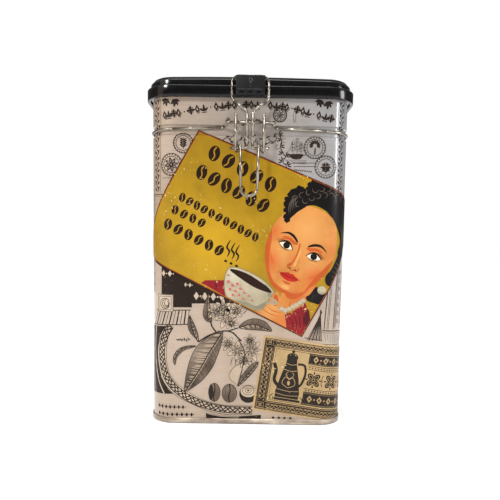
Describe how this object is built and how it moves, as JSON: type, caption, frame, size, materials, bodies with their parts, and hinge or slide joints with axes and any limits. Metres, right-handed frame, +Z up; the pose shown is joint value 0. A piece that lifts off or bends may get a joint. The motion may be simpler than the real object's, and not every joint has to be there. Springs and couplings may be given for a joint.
{
  "type": "coffee tin",
  "caption": "Rectangular tinplate coffee tin with a hinged press-on plastic lid, held shut in front by a wire toggle clasp.",
  "frame": {"origin": "middle of the base on the floor, midway between the body's sides and between its front and back walls", "axes": "+Z up, -Y out of the front with the clasp, +X to the right seen from the front"},
  "size_m": [0.1142, 0.0943, 0.19],
  "materials": {
    "printed_tinplate": "printed and varnished",
    "tinplate": "bright tinplate",
    "compound": "matt",
    "band_steel": "nickel plated",
    "clasp_steel": "nickel plated",
    "gloss_black": "gloss",
    "matt_black": "fine matt",
    "silicone": "satin"
  },
  "bodies": {
    "tin": {"body_shell": "printed_tinplate", "base_panel": "tinplate", "seam_compound": "compound", "band_wire": "band_steel"},
    "lid": {"lid_cover": "gloss_black", "lid_gasket": "silicone", "front_catch": "matt_black", "rear_hinge": "matt_black"},
    "lever": {"lever_wire": "clasp_steel"},
    "bail": {"bail_wire": "clasp_steel"}
  },
  "joints": [
    {"name": "lid_hinge", "type": "hinge", "parent": "tin", "child": "lid", "pos_m": [0, 0.0442, 0.1803], "axis": [-1, 0, 0], "range_deg": [0, 105]},
    {"name": "lever_pivot", "type": "hinge", "parent": "tin", "child": "lever", "pos_m": [0, -0.0445, 0.1649], "axis": [-1, 0, 0], "range_deg": [0, 150]},
    {"name": "bail_pivot", "type": "hinge", "parent": "lever", "child": "bail", "pos_m": [0, -0.0445, 0.1516], "axis": [-1, 0, 0], "range_deg": [-165, 0]}
  ],
  "couplings": [
    {"joint": "lever_pivot", "follows": "lid_hinge", "ratio": 1.2},
    {"joint": "bail_pivot", "follows": "lid_hinge", "ratio": -1.55}
  ]
}
